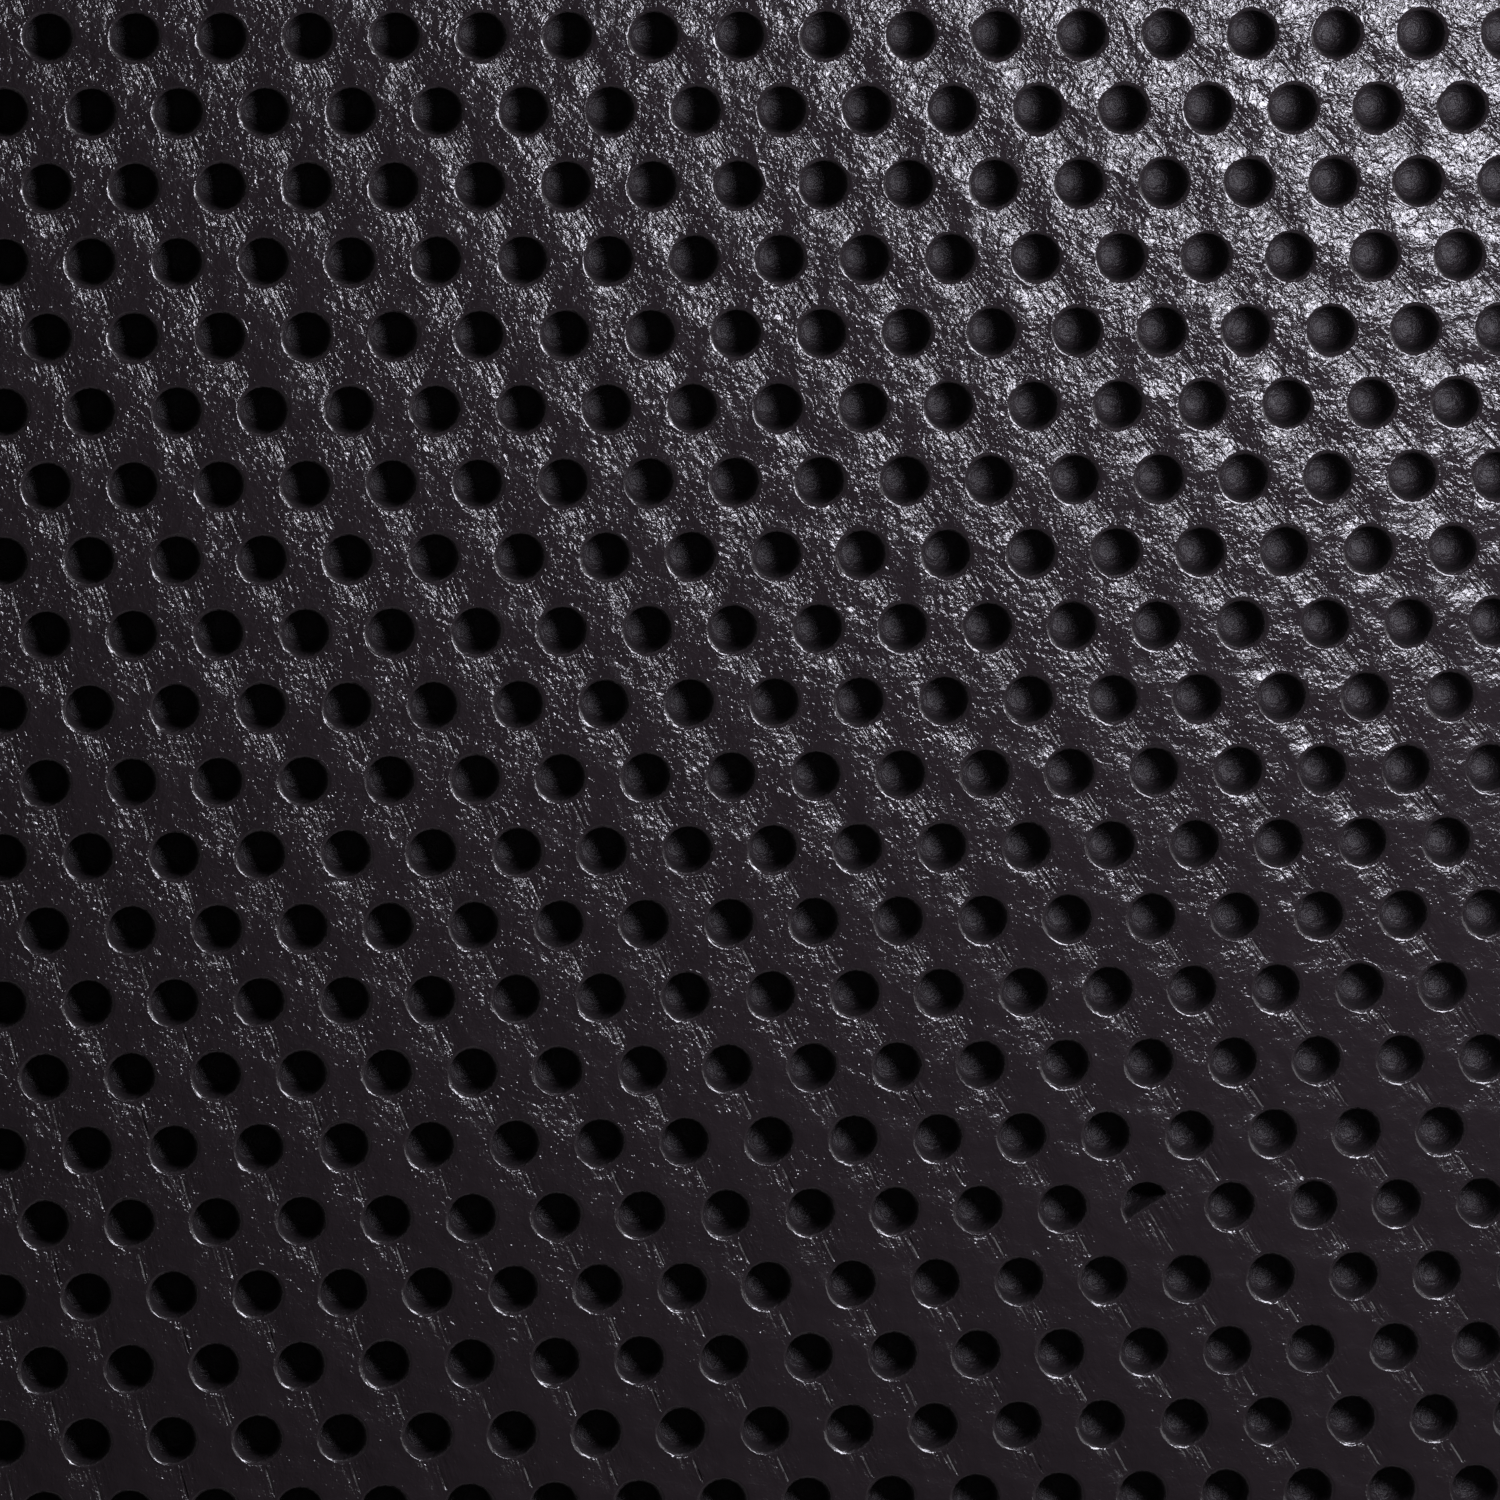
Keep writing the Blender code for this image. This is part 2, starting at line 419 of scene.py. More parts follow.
def mesh_object(name, points, faces, loop_normals=None):
    """A new object from points in mm and blocks of faces, where a block's faces are all alike."""
    mesh = bpy.data.meshes.new(name)
    corners = np.concatenate([block.ravel() for block in faces]).astype(np.int32)
    lengths = np.concatenate([np.full(len(block), block.shape[1]) for block in faces])
    mesh.vertices.add(len(points))
    mesh.vertices.foreach_set("co", (np.asarray(points) * MM).ravel().astype(np.float32))
    mesh.loops.add(len(corners))
    mesh.loops.foreach_set("vertex_index", corners)
    mesh.polygons.add(len(lengths))
    starts = np.concatenate([[0], np.cumsum(lengths)[:-1]]).astype(np.int32)
    mesh.polygons.foreach_set("loop_start", starts)
    mesh.update(calc_edges=True)
    mesh.validate()
    mesh.polygons.foreach_set("use_smooth", np.ones(len(lengths), bool))
    if loop_normals is not None:
        mesh.normals_split_custom_set(loop_normals)
    made = bpy.data.objects.new(name, mesh)
    bpy.context.scene.collection.objects.link(made)
    return made


points = np.concatenate(verts)
point_normals = np.concatenate(normals)
point_normals /= np.linalg.norm(point_normals, axis=1, keepdims=True)
loop_of = np.concatenate([block.ravel() for block in faces])
loop_normals = point_normals[loop_of]

# The walls of a knit groove are flat, so their corners are shaded with the face's own direction.
wall = triangles[in_groove]
first_side = points[wall[:, 1]] - points[wall[:, 0]]
wall_normal = np.cross(first_side, points[wall[:, 2]] - points[wall[:, 0]])
wall_normal /= np.linalg.norm(wall_normal, axis=1, keepdims=True)
loop_normals[:triangles.size].reshape(-1, 3, 3)[in_groove] = wall_normal[:, None]

sheet = mesh_object("moulded_sheet", points, faces, loop_normals)
mesh = sheet.data

# How strongly the melt was creased at each point: full behind a pin, none in front of it. The two
# limits are cosines of the angle between a rim point's direction and the melt's.
FAN_EDGE, FAN_CORE = 0.55, 0.9
creased = np.zeros(total)
ring_along = (outward * along[:, None]).sum(-1)
fan_share = (ring_along - FAN_EDGE) / (FAN_CORE - FAN_EDGE)
creased[:first_groove] = np.clip(fan_share, 0, 1).ravel()
creased[first_groove:first_middle] = 1
for name, values in (("creased", creased), ("pitted", np.concatenate(pit_share))):
    stored = mesh.attributes.new(name, "FLOAT", "POINT").data
    stored.foreach_set("value", values.astype(np.float32))

# The face and sides unrolled as one flat chart, with the underside below it at a smaller scale.
CHART_WIDTH = 616.0
UNDERSIDE_CHART_SCALE = 0.46
flat_chart = np.concatenate(chart)[loop_of] * 0.99 / CHART_WIDTH
below = np.zeros(len(loop_of), bool)
below[-underside.size:] = True
flat_chart[below] *= UNDERSIDE_CHART_SCALE
flat_chart += np.where(below[:, None], (0.25, 0.16), (0.5, 0.66))
mesh.uv_layers.new(name="OFBake").data.foreach_set("uv", flat_chart.astype(np.float32).ravel())


def linear(hex_colour):
    """An sRGB hex colour as linear red, green, blue and alpha."""
    values = [int(hex_colour[i:i + 2], 16) / 255 for i in (1, 3, 5)]
    return [v / 12.92 if v <= 0.04045 else ((v + 0.055) / 1.055) ** 2.4 for v in values] + [1.0]


def add_node(material, kind, sockets, out=None, **settings):
    """Adds a node with its settings, gives its input sockets their values or links, and returns
    the output asked for, or the node itself."""
    made = material.node_tree.nodes.new("ShaderNode" + kind)
    for name, value in settings.items():
        setattr(made, name, value)
    for name, value in sockets.items():
        if isinstance(value, bpy.types.NodeSocket):
            material.node_tree.links.new(value, made.inputs[name])
        else:
            made.inputs[name].default_value = value
    return made if out is None else made.outputs[out]


def new_material(name):
    material = bpy.data.materials.new(name)
    material.use_nodes = True
    material.node_tree.nodes.clear()
    return material


# Thermoplastic rubber as it left a spark-eroded mould: almost black, with a satin skin that is
# finely wrinkled all over, creased in fans behind the pins and rougher down in the dimples.
rubber = new_material("moulded_rubber_satin_black")
place = add_node(rubber, "TexCoord", {}, "Object")
creased = add_node(rubber, "Attribute", {}, "Fac", attribute_name="creased")
pitted = add_node(rubber, "Attribute", {}, "Fac", attribute_name="pitted")

# Flow creases run away from the gate, so they are drawn in angle round it and distance from it.
TYPICAL_REACH = 0.35  # m from the gate, where a crease is drawn at its true width
CREASE_STRETCH = 0.13  # a crease's width as a share of its length
to_gate = (-GATE[0] * MM, -GATE[1] * MM, 0)
flat = {0: place, 1: (1, 1, 0), 2: to_gate}
from_gate = add_node(rubber, "VectorMath", flat, 0, operation="MULTIPLY_ADD")
distance = add_node(rubber, "VectorMath", {0: from_gate}, "Value", operation="LENGTH")
split = add_node(rubber, "SeparateXYZ", {"Vector": from_gate}).outputs
forth = add_node(rubber, "Math", {0: split["Y"], 1: -1.0}, 0, operation="MULTIPLY")
bearing = add_node(rubber, "Math", {0: split["X"], 1: forth}, 0, operation="ARCTAN2")
polar = add_node(rubber, "CombineXYZ", {"X": bearing, "Y": distance}, 0)
stretched = {0: polar, 1: (TYPICAL_REACH, CREASE_STRETCH, 0)}
flow_place = add_node(rubber, "VectorMath", stretched, 0, operation="MULTIPLY")

# Each pattern's size in mm, detail, roughness and distortion. They are moved down to swing evenly
# about zero, so that one can fade out without leaving a step.
patterns = {}
for name, where, size, detail, roughness, distortion in (
    ("wrinkles", place, 0.72, 2.0, 0.6, 0.6),
    ("ripples", place, 3.6, 1.0, 0.5, 0.0),
    ("patches", place, 8.0, 2.0, 0.5, 0.0),
    ("grit", place, 0.9, 3.0, 0.7, 0.0),
    ("mottle", place, 9.0, 3.0, 0.55, 0.0),
    ("creases", flow_place, 0.5, 2.0, 0.5, 0.0),
):
    sockets = {
        "Vector": where,
        "Scale": 1 / (size * MM),
        "Detail": detail,
        "Roughness": roughness,
        "Distortion": distortion,
    }
    noise = add_node(rubber, "TexNoise", sockets, "Fac")
    patterns[name] = add_node(rubber, "Math", {0: noise, 1: 0.5}, 0, operation="SUBTRACT")

# Inputs 0 to 4 of a MapRange are its value, the two ends of its range and those of the new one.
PIMPLE_SPACING = 0.8 * MM
cells = {"Vector": place, "Scale": 1 / PIMPLE_SPACING, "Randomness": 1.0}
to_pimple = add_node(rubber, "TexVoronoi", cells, "Distance", feature="F1")
pimples = add_node(rubber, "MapRange", {0: to_pimple, 1: 0.0, 2: 0.22, 3: 1.0, 4: 0.0}, 0)

# The wrinkles come in stronger and weaker patches and are strongest in the creased fans, and the
# melt that had run furthest has fewer of them.
MOST_WRINKLED, LEAST_WRINKLED = 0.34, 0.43  # m from the gate
on_land = add_node(rubber, "MapRange", {0: pitted, 1: 0.05, 2: SMOOTH_SHARE, 3: 1.0, 4: 0.0}, 0)
in_pit = add_node(rubber, "MapRange", {0: pitted, 1: 0.5, 2: 1.0, 3: 0.0, 4: 1.0}, 0)
run_far = {0: distance, 1: MOST_WRINKLED, 2: LEAST_WRINKLED, 3: 1.0, 4: 0.42}
still_hot = add_node(rubber, "MapRange", run_far, 0)
patchy = {0: patterns["patches"], 1: -0.15, 2: 0.15, 3: 0.6, 4: 1.05}
strength = add_node(rubber, "MapRange", patchy, 0)
fans = {0: creased, 1: 0.45, 2: strength}
strength = add_node(rubber, "Math", fans, 0, operation="MULTIPLY_ADD")
for share in (on_land, still_hot):
    strength = add_node(rubber, "Math", {0: strength, 1: share}, 0, operation="MULTIPLY")

relief = 0.0
for pattern, share, full_height in (  # the heights are in mm
    (patterns["wrinkles"], strength, 0.2),
    (patterns["ripples"], on_land, 0.4),
    (patterns["creases"], creased, 0.2),
    (pimples, strength, 0.085),
    (patterns["grit"], in_pit, 0.45),
):
    shown = add_node(rubber, "Math", {0: pattern, 1: share}, 0, operation="MULTIPLY")
    raised = {0: shown, 1: full_height, 2: relief}
    relief = add_node(rubber, "Math", raised, 0, operation="MULTIPLY_ADD")
bump = add_node(rubber, "Bump", {"Height": relief, "Distance": MM, "Strength": 1.0}, "Normal")

# A colour Mix has its factor at input 0, its colours at 6 and 7, and its result at output 2.
PIT_DULLNESS = 0.36  # how much rougher the inside of a dimple is
mottled = add_node(rubber, "Math", {0: patterns["mottle"], 1: 0.5}, 0, operation="ADD")
blacks = {0: mottled, 6: linear("#231d20"), 7: linear("#1d181b")}
shade = add_node(rubber, "Mix", blacks, 2, data_type="RGBA")
satin = {0: patterns["mottle"], 1: -0.2, 2: 0.2, 3: 0.17, 4: 0.21}
roughness = add_node(rubber, "MapRange", satin, 0)
dulled = {0: in_pit, 1: PIT_DULLNESS, 2: roughness}
roughness = add_node(rubber, "Math", dulled, 0, operation="MULTIPLY_ADD")
sockets = {"Base Color": shade, "Roughness": roughness, "IOR": 1.5, "Normal": bump}
surface = add_node(rubber, "BsdfPrincipled", sockets, "BSDF")
add_node(rubber, "OutputMaterial", {"Surface": surface})
mesh.materials.append(rubber)

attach(sheet, "root")
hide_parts("dimpled_sheet")


# --- The edge binding -----------------------------------------------------------------------------
# Four lengths of plain-woven polypropylene tape, each folded round one edge of the sheet and cut on
# the mitre at the corners. The lockstitch pulls a shallow furrow into both lips.

TAPE_THICKNESS = 1.5
FOLD_RADIUS = 2.8
LIP_EDGE_RADIUS = 0.6
MITRE_GAP = 0.12
TAPE_STATION = 1.0  # distance between the cross-sections along the tape
STITCH_LENGTH = 4.0
SEAM_INSET = 17.5
FURROW_DEPTH = 0.55
FURROW_HALF_WIDTH = 0.9
PUCKER_DEPTH = 0.2
PUCKER_HALF_WIDTH = 2.4

outer_high = np.array(cad_box[1]) / MM
mat_height = outer_high[2]
lip_width = outer_high[1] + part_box("binding_front")[1][1] / MM
SIDES = {"front": 0, "right": 90, "back": 180, "left": 270}


def lip_points(depth):
    """One lip of the tape from its free edge to the fold, at this depth under its outer face. The
    points lie close together across the seam's furrow and wide apart on the plain part."""
    sewn = np.linspace(SEAM_INSET + 3.0, SEAM_INSET - 3.0, 13)
    plain = np.linspace(SEAM_INSET - 4.5, FOLD_RADIUS, 7)
    insets = np.concatenate([[lip_width - LIP_EDGE_RADIUS], sewn, plain])
    return np.stack([insets, np.full(len(insets), mat_height - depth)], -1)


def fold_points(depth):
    """The upper half of the fold, at this depth under its outer face."""
    angles = np.radians(np.linspace(0, 90, 6))[1:]
    reach = FOLD_RADIUS - depth
    insets = FOLD_RADIUS - reach * np.sin(angles)
    return np.stack([insets, mat_height - FOLD_RADIUS + reach * np.cos(angles)], -1)


def tape_face(depth):
    """One face of the folded tape, from its upper free edge round the fold to the lower one."""
    half = np.concatenate([lip_points(depth), fold_points(depth)])
    return np.concatenate([half, (half * (1, -1) + (0, mat_height))[::-1]])


def tape_section():
    """The tape's cross-section as (inset from the mat's edge, height), and its faces' points."""
    outside = tape_face(0.0)
    inside = tape_face(TAPE_THICKNESS)[::-1]
    rounding = np.radians((60, 20, -20, -60))
    middle = mat_height - TAPE_THICKNESS / 2
    edge_round = np.stack([
        lip_width - LIP_EDGE_RADIUS * (1 - np.cos(rounding)),
        middle + TAPE_THICKNESS / 2 * np.sin(rounding),
    ], -1)
    lower_edge = edge_round * (1, -1) + (0, mat_height)
    whole = np.concatenate([outside, lower_edge, inside, edge_round[::-1]])
    return whole, len(outside), len(inside), len(edge_round)


section, outside_count, inside_count, edge_count = tape_section()
around = np.concatenate([[0], np.cumsum(np.linalg.norm(np.diff(section, axis=0), axis=1))])
CHART_ROWS = 6  # the tape's strip is cut across into this many, charted one above the other
CHART_MARGIN_U, CHART_MARGIN_V = 0.07, 0.04
WANDER = 0.12  # how far the free edge of a lip strays from straight
WANDER_LONG, WANDER_SHORT = 7.3, 3.1
WANDER_REACH = 1.5  # how deep into the lip it strays


def side_halves(angle):
    """Half of the mat's length along a side, and half of its depth across that side."""
    halves = outer_high[0], outer_high[1]
    return halves if angle % 180 == 0 else halves[::-1]


def turned_to_side(x, y, angle):
    """Points made along the front side, turned to the side at this angle."""
    turn = math.radians(angle)
    return x * math.cos(turn) - y * math.sin(turn), x * math.sin(turn) + y * math.cos(turn)


def binding(name, angle):
    """One folded tape with its mitred ends, run along its side of the mat."""
    half_run, half_depth = side_halves(angle)
    stations = round(2 * half_run / TAPE_STATION) + 1
    share = np.linspace(-1, 1, stations)
    inset, height = section[:, 0], section[:, 1]
    run = share[:, None] * (half_run - inset - MITRE_GAP)
    seam = inset - SEAM_INSET
    beat = 0.5 + 0.5 * np.cos(2 * np.pi * run / STITCH_LENGTH)
    sunk = FURROW_DEPTH * np.exp(-((seam / FURROW_HALF_WIDTH) ** 2))
    sunk = sunk + PUCKER_DEPTH * beat * np.exp(-((seam / PUCKER_HALF_WIDTH) ** 2))
    on_lip = inset > FOLD_RADIUS + 0.1
    is_outside = np.arange(len(section)) < outside_count
    sunk = sunk * (on_lip & is_outside) * np.where(height > mat_height / 2, -1, 1)
    z = height + sunk
    wander = WANDER * (np.sin(run / WANDER_LONG + angle) + np.sin(run / WANDER_SHORT + 2 * angle))
    inset = inset + wander * np.clip((inset - lip_width + WANDER_REACH) / WANDER_REACH, 0, 1)
    x, y = turned_to_side(run, inset - half_depth, angle)
    points = np.stack([x, y, z], -1).reshape(-1, 3)

    count = len(section)
    index = np.arange(stations * count).reshape(stations, count)
    here, ahead = index[:-1], index[1:]
    skin = np.stack([here, ahead, np.roll(ahead, -1, 1), np.roll(here, -1, 1)], -1).reshape(-1, 4)
    outer_half = index[:, :outside_count]
    first_inside = outside_count + edge_count
    inner_half = index[:, first_inside:first_inside + inside_count][:, ::-1]
    ends = []
    for station, flip in ((0, False), (-1, True)):
        a, b = outer_half[station], inner_half[station]
        cap = np.stack([a[:-1], a[1:], b[1:], b[:-1]], -1)
        ends.append(cap[:, ::-1] if flip else cap)
        for rim in (
            np.concatenate([[a[-1]], index[station, outside_count:first_inside], [b[-1]]]),
            np.concatenate([[b[0]], index[station, -edge_count:], [a[0]]]),
        ):
            fan = np.stack([np.full(edge_count, rim[0]), rim[1:-1], rim[2:]], -1)
            ends.append(fan[:, ::-1] if flip else fan)
    quads = np.concatenate([skin] + [block for block in ends if block.shape[1] == 4])
    fans = np.concatenate([block for block in ends if block.shape[1] == 3])
    tape = mesh_object(name, points, [quads, fans])

    # Place along and around the tape, in mm, for the weave. The faces that close the ring would
    # jump back to its start, so they run on to its full length.
    corners = np.concatenate([quads.ravel(), fans.ravel()])
    along = run.ravel()[corners]
    ring = np.tile(around, stations)[corners]
    skin_ring = ring[:skin.size].reshape(-1, 4)
    closing = skin_ring.max(1) - skin_ring.min(1) > around[-1] / 2
    full_ring = around[-1] + 0.5
    skin_ring[closing] = np.where(skin_ring[closing] == 0, full_ring, skin_ring[closing])
    weave_place = np.stack([along, ring], -1).astype(np.float32)
    tape.data.uv_layers.new(name="weave").data.foreach_set("uv", weave_place.ravel())

    # The chart: the strip cut into rows, with both end faces in a corner of their own.
    row = np.zeros(len(corners), int)
    face_station = np.repeat(np.arange(stations - 1), count)
    row[:skin.size] = np.repeat(face_station * CHART_ROWS // (stations - 1), 4)
    row_length = 2 * half_run / CHART_ROWS
    u = (along + half_run - row * row_length) / row_length
    u = CHART_MARGIN_U + u * (1 - 2 * CHART_MARGIN_U)
    v = (row + CHART_MARGIN_V + ring / full_ring * (1 - 2 * CHART_MARGIN_V)) / CHART_ROWS
    chart = np.stack([u, v], -1)
    caps = np.arange(len(corners)) >= skin.size
    cap_place = np.tile(section, (stations, 1))[corners]
    chart[caps] = 0.002 + cap_place[caps] * (0.0022, 0.0012)
    chart = chart.astype(np.float32)
    tape.data.uv_layers.new(name="OFBake").data.foreach_set("uv", chart.ravel())
    sharp = np.zeros(len(quads) + len(fans), bool)
    sharp[len(skin):] = True
    tape.data.polygons.foreach_set("use_smooth", ~sharp)

    return tape


# Polypropylene tape, plain-woven from matt black yarn. The tops of the yarns are painted lighter as
# a sheen and the gaps between them painted darker as shade. The weave is drawn at twice the real
# yarn spacing of 0.7 mm, so it shows.
YARN_SPACING = 1.4
woven = new_material("woven_polypropylene_tape")
weave_at = add_node(woven, "UVMap", {}, "UV", uv_map="weave")
apart = add_node(woven, "SeparateXYZ", {"Vector": weave_at}).outputs
waves = []
for axis in ("X", "Y"):
    per_yarn = {0: apart[axis], 1: math.pi / YARN_SPACING}
    phase = add_node(woven, "Math", per_yarn, 0, operation="MULTIPLY")
    waves.append(add_node(woven, "Math", {0: phase}, 0, operation="SINE"))
crossing = add_node(woven, "Math", {0: waves[0], 1: waves[1]}, 0, operation="MULTIPLY")
pillow = add_node(woven, "Math", {0: crossing}, 0, operation="ABSOLUTE")
pillow = add_node(woven, "Math", {0: pillow, 1: 0.6}, 0, operation="POWER")

tape_place = add_node(woven, "TexCoord", {}, "Object")
FUZZ_SIZE, WEAR_SIZE = 0.35 * MM, 14 * MM
fine = {"Vector": tape_place, "Scale": 1 / FUZZ_SIZE, "Detail": 3.0}
fuzz = add_node(woven, "TexNoise", fine, "Fac")
broad = {"Vector": tape_place, "Scale": 1 / WEAR_SIZE, "Detail": 4.0}
wear = add_node(woven, "TexNoise", broad, "Fac")
over_under = {0: crossing, 1: 0.35, 2: pillow}
height = add_node(woven, "Math", over_under, 0, operation="MULTIPLY_ADD")
height = add_node(woven, "Math", {0: fuzz, 1: 0.5, 2: height}, 0, operation="MULTIPLY_ADD")
yarn_relief = {"Height": height, "Distance": 0.22 * MM, "Strength": 1.0}
weave_bump = add_node(woven, "Bump", yarn_relief, "Normal")

# The yarn tops are painted lighter as sheen, and the gaps between the yarns painted darker as
# shade.
painted_yarn_sheen_and_gap_shade = {0: pillow, 6: linear("#19181b"), 7: linear("#2e2d31")}
yarn = add_node(woven, "Mix", painted_yarn_sheen_and_gap_shade, 2, data_type="RGBA")
tape_colours = {0: wear, 6: linear("#1b1a1d"), 7: yarn}
tape_shade = add_node(woven, "Mix", tape_colours, 2, data_type="RGBA")
sockets = {
    "Base Color": tape_shade,
    "Roughness": 0.78,
    "IOR": 1.49,
    "Sheen Weight": 0.25,
    "Sheen Roughness": 0.4,
    "Normal": weave_bump,
}
tape_surface = add_node(woven, "BsdfPrincipled", sockets, "BSDF")
add_node(woven, "OutputMaterial", {"Surface": tape_surface})

for side, angle in SIDES.items():
    tape = binding(f"binding_tape_{side}", angle)
    tape.data.materials.append(woven)
    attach(tape, "root")
    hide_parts(f"binding_{side}")


# --- The lockstitch seam --------------------------------------------------------------------------
# Twisted polyester thread: on each side of the mat a needle thread on the face and a bobbin thread
# underneath. The two lock inside the sheet at every hole, so each shows as a row of short stitches.

THREAD_RADIUS = 0.25
SEAM_END_FROM_MITRE = 2.0
STITCH_DIP = 0.95
STITCH_RISE = 0.66
STITCH_FULLNESS = 0.55  # the lower, the longer a stitch lies level between its holes
THREAD_PINCH = 0.2  # how much thinner the thread is pulled at a hole
STEPS_PER_STITCH = 8
THREAD_SIDES = 8


def seam_thread(name, angle, underneath):
    """A sewn thread as one tube that rises over the tape in each stitch and dips into each hole."""
    half_run, half_depth = side_halves(angle)
    stitches = int((2 * (half_run - SEAM_INSET - SEAM_END_FROM_MITRE)) // STITCH_LENGTH)
    stitches -= stitches % 2
    run = np.linspace(-stitches / 2, stitches / 2, stitches * STEPS_PER_STITCH + 1)
    arch = np.abs(np.sin(np.pi * run)) ** STITCH_FULLNESS
    run = run * STITCH_LENGTH
    z = mat_height - STITCH_DIP + STITCH_RISE * arch
    tangent = np.stack([np.gradient(run), np.gradient(z)], -1)
    tangent /= np.linalg.norm(tangent, axis=1, keepdims=True)
    spin = 2 * np.pi * np.arange(THREAD_SIDES) / THREAD_SIDES
    radius = THREAD_RADIUS * (1 - THREAD_PINCH + THREAD_PINCH * arch)[:, None]
    x = run[:, None] - radius * np.sin(spin) * tangent[:, 1:]
    y = SEAM_INSET - half_depth + radius * np.cos(spin)
    z = z[:, None] + radius * np.sin(spin) * tangent[:, :1]
    y = np.broadcast_to(y, x.shape)
    if underneath:
        z = mat_height - z
    points = np.stack([*turned_to_side(x, y, angle), z], -1).reshape(-1, 3)
    index = np.arange(x.size).reshape(x.shape)
    here, ahead = index[:-1], index[1:]
    tube = np.stack([here, np.roll(here, -1, 1), np.roll(ahead, -1, 1), ahead], -1).reshape(-1, 4)
    caps = [index[:1, ::-1], index[-1:]]
    if not underneath:
        tube, caps = tube[:, ::-1], [cap[:, ::-1] for cap in caps]
    thread = mesh_object(name, points, [tube] + caps)
    twist = np.stack([np.repeat(run, THREAD_SIDES), np.tile(spin / (2 * np.pi), len(run))], -1)
    corner_twist = np.concatenate([twist[block.ravel()] for block in [tube] + caps])
    wrapped = corner_twist[:tube.size].reshape(-1, 4, 2)
    closing = np.ptp(wrapped[..., 1], axis=1) > 0.5
    wrapped[closing, :, 1] = np.where(wrapped[closing, :, 1] == 0, 1.0, wrapped[closing, :, 1])
    corner_twist = corner_twist.astype(np.float32)
    thread.data.uv_layers.new(name="twist").data.foreach_set("uv", corner_twist.ravel())
    return thread


# Polyester thread, two plies twisted together: the groove between the plies winds round it and is
# painted darker as shade, and its filaments give it more sheen than the tape has.
PLY_TURN = 1.2  # length of thread in which a ply winds once round
sewing = new_material("twisted_polyester_thread")
twist_at = add_node(sewing, "UVMap", {}, "UV", uv_map="twist")
twist_at = add_node(sewing, "SeparateXYZ", {"Vector": twist_at}).outputs
winding = {0: twist_at["X"], 1: 1 / PLY_TURN, 2: twist_at["Y"]}
wound = add_node(sewing, "Math", winding, 0, operation="MULTIPLY_ADD")
wound = add_node(sewing, "Math", {0: wound, 1: 2 * math.pi}, 0, operation="MULTIPLY")
wound = add_node(sewing, "Math", {0: wound}, 0, operation="SINE")
ply = add_node(sewing, "Math", {0: wound}, 0, operation="ABSOLUTE")
ply_relief = {"Height": ply, "Distance": 0.06 * MM, "Strength": 1.0}
ply_bump = add_node(sewing, "Bump", ply_relief, "Normal")
# The groove between the plies is painted darker as shade.
ply_groove_painted_shade = {0: ply, 6: linear("#1d1c1f"), 7: linear("#3a393d")}
thread_shade = add_node(sewing, "Mix", ply_groove_painted_shade, 2, data_type="RGBA")
sockets = {
    "Base Color": thread_shade,
    "Roughness": 0.5,
    "IOR": 1.54,
    "Sheen Weight": 0.2,
    "Normal": ply_bump,
}
thread_surface = add_node(sewing, "BsdfPrincipled", sockets, "BSDF")
add_node(sewing, "OutputMaterial", {"Surface": thread_surface})

for side, angle in SIDES.items():
    for kind, underneath in (("needle", False), ("bobbin", True)):
        thread = seam_thread(f"{kind}_stitches_{side}", angle, underneath)
        thread.data.materials.append(sewing)
        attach(thread, "root")
        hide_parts(f"{kind}_thread_{side}")


# --- The floor ------------------------------------------------------------------------------------
# A plain pale studio floor of smooth concrete, painted matt with a roller. It reaches so far that a
# low view sees no end of it close by, and the mat lies on it.

HALF_FLOOR = 15.0  # m
FLOOR_GAP = 0.3 * MM
floor_corners = [
    (x * HALF_FLOOR, y * HALF_FLOOR, 0) for x, y in ((-1, -1), (1, -1), (1, 1), (-1, 1))
]
floor_mesh = bpy.data.meshes.new("studio_floor")
floor_mesh.from_pydata(floor_corners, [], [(0, 1, 2, 3)])
floor = bpy.data.objects.new("studio_floor", floor_mesh)
floor.location.z = -FLOOR_GAP
bpy.context.scene.collection.objects.link(floor)

# Matt pale paint: almost even, with faint clouds about 300 mm wide where the roller laid it on.
paint = new_material("matt_pale_paint")
floor_place = add_node(paint, "TexCoord", {}, "Object")
rolled = {"Vector": floor_place, "Scale": 3.0, "Detail": 3.0}
clouds = add_node(paint, "TexNoise", rolled, "Fac")
paint_colours = {0: clouds, 6: linear("#dedcd8"), 7: linear("#d8d6d3")}
paint_shade = add_node(paint, "Mix", paint_colours, 2, data_type="RGBA")
sockets = {"Base Color": paint_shade, "Roughness": 0.7}
paint_surface = add_node(paint, "BsdfPrincipled", sockets, "BSDF")
add_node(paint, "OutputMaterial", {"Surface": paint_surface})
floor_mesh.materials.append(paint)
floor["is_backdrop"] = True


# --- Lights and camera ----------------------------------------------------------------------------
# A small lamp close to the face rakes across it from the back right and picks out the wrinkles and
# the rims, a broad fill stands further off on the same side, and an even light from above keeps the
# floor pale. The camera looks almost straight down at a part of the face right of the middle.

AIM = Vector((0.17211, -0.06186, land_z * MM))  # m, the place on the face that is looked at


def lamp_object(name, kind, energy, colour):
    lamp = bpy.data.lights.new(name, kind)
    lamp.energy = energy
    lamp.color = colour
    made = bpy.data.objects.new(name, lamp)
    bpy.context.scene.collection.objects.link(made)
    return made


def disk_lamp(name, offset, size, watts, colour):
    """A round soft lamp at this offset from AIM, turned to shine on it."""
    made = lamp_object(name, "AREA", watts, colour)
    made.data.shape = "DISK"
    made.data.size = size
    made.location = AIM + Vector(offset)
    made.rotation_euler = Vector(offset).to_track_quat("Z", "Y").to_euler()
    made.visible_camera = False
    return made


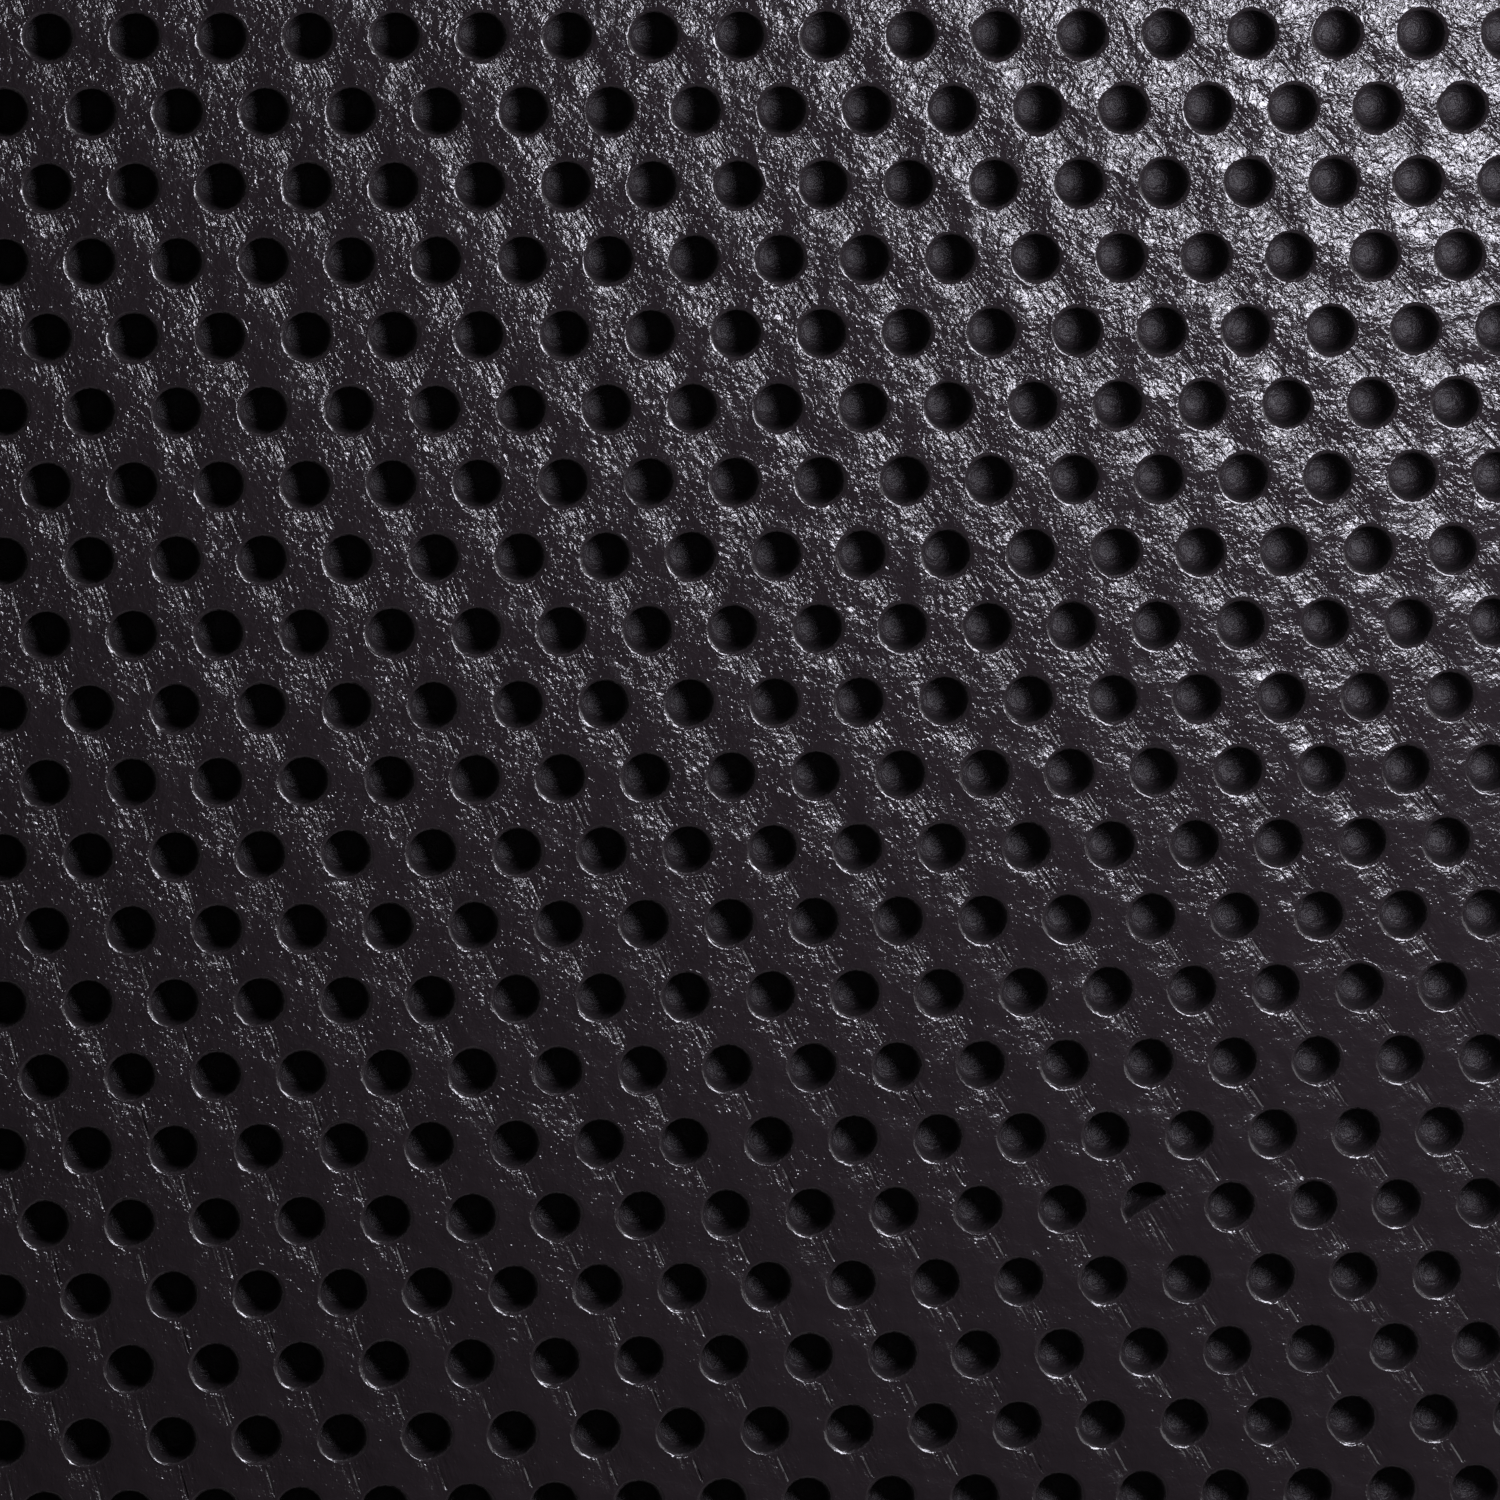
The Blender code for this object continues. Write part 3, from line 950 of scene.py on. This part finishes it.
near_lamp = disk_lamp(
    "near_lamp", offset=(0.158, 0.094, 0.26), size=0.12, watts=1.2, colour=(0.90, 0.89, 1.0)
)
disk_lamp("fill_lamp", offset=(1.6, 0.5, 1.3), size=1.6, watts=13.0, colour=(0.97, 0.98, 1.0))
backdrop_lamp = lamp_object("backdrop_lamp", "SUN", energy=1.55, colour=(1.0, 0.99, 0.97))
backdrop_lamp.data.angle = math.radians(50)  # as soft as a large softbox overhead

# The near lamp is flagged off the floor, and the backdrop lamp off the mat.
for lamp, lit in ((near_lamp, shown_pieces()), (backdrop_lamp, [floor])):
    lit_by = bpy.data.collections.new(f"lit_by_{lamp.name}")
    for thing in lit:
        lit_by.objects.link(thing)
    lamp.light_linking.receiver_collection = lit_by

# The pale walls of the studio: brightest low down, and dim towards the ceiling.
walls = bpy.data.worlds.new("studio_walls")
walls.use_nodes = True
toward_wall = add_node(walls, "TexCoord", {}, "Generated")
rise = add_node(walls, "SeparateXYZ", {"Vector": toward_wall}, "Z")
wall_glow = add_node(walls, "MapRange", {0: rise, 1: 0.05, 2: 0.62, 3: 0.5, 4: 0.06}, 0)
wall_light = walls.node_tree.nodes["Background"].inputs
wall_light["Color"].default_value = linear("#dedcde")
walls.node_tree.links.new(wall_glow, wall_light["Strength"])
bpy.context.scene.world = walls

VIEW_AZIMUTH = math.radians(220.5)  # round the mat, from the front towards its right side
VIEW_ELEVATION = math.radians(77.8)
VIEW_ROLL = math.radians(0.68)
VIEW_DISTANCE = 1.4556  # m
toward_eye = Vector((
    math.cos(VIEW_ELEVATION) * math.sin(VIEW_AZIMUTH),
    -math.cos(VIEW_ELEVATION) * math.cos(VIEW_AZIMUTH),
    math.sin(VIEW_ELEVATION),
))
forward = -toward_eye
level_right = forward.cross(Vector((0, 1, 0))).normalized()
level_up = level_right.cross(forward)
right_hand = math.cos(VIEW_ROLL) * level_right + math.sin(VIEW_ROLL) * level_up
upward = -math.sin(VIEW_ROLL) * level_right + math.cos(VIEW_ROLL) * level_up
lens = bpy.data.cameras.new("camera")
lens.lens = 300
lens.sensor_width = 36
lens.clip_start = 0.1
camera = bpy.data.objects.new("camera", lens)
axes = Matrix((right_hand, upward, toward_eye)).transposed()
camera.matrix_world = Matrix.Translation(AIM + toward_eye * VIEW_DISTANCE) @ axes.to_4x4()
bpy.context.scene.collection.objects.link(camera)
bpy.context.scene.camera = camera
bpy.context.scene.view_settings.view_transform = "Standard"
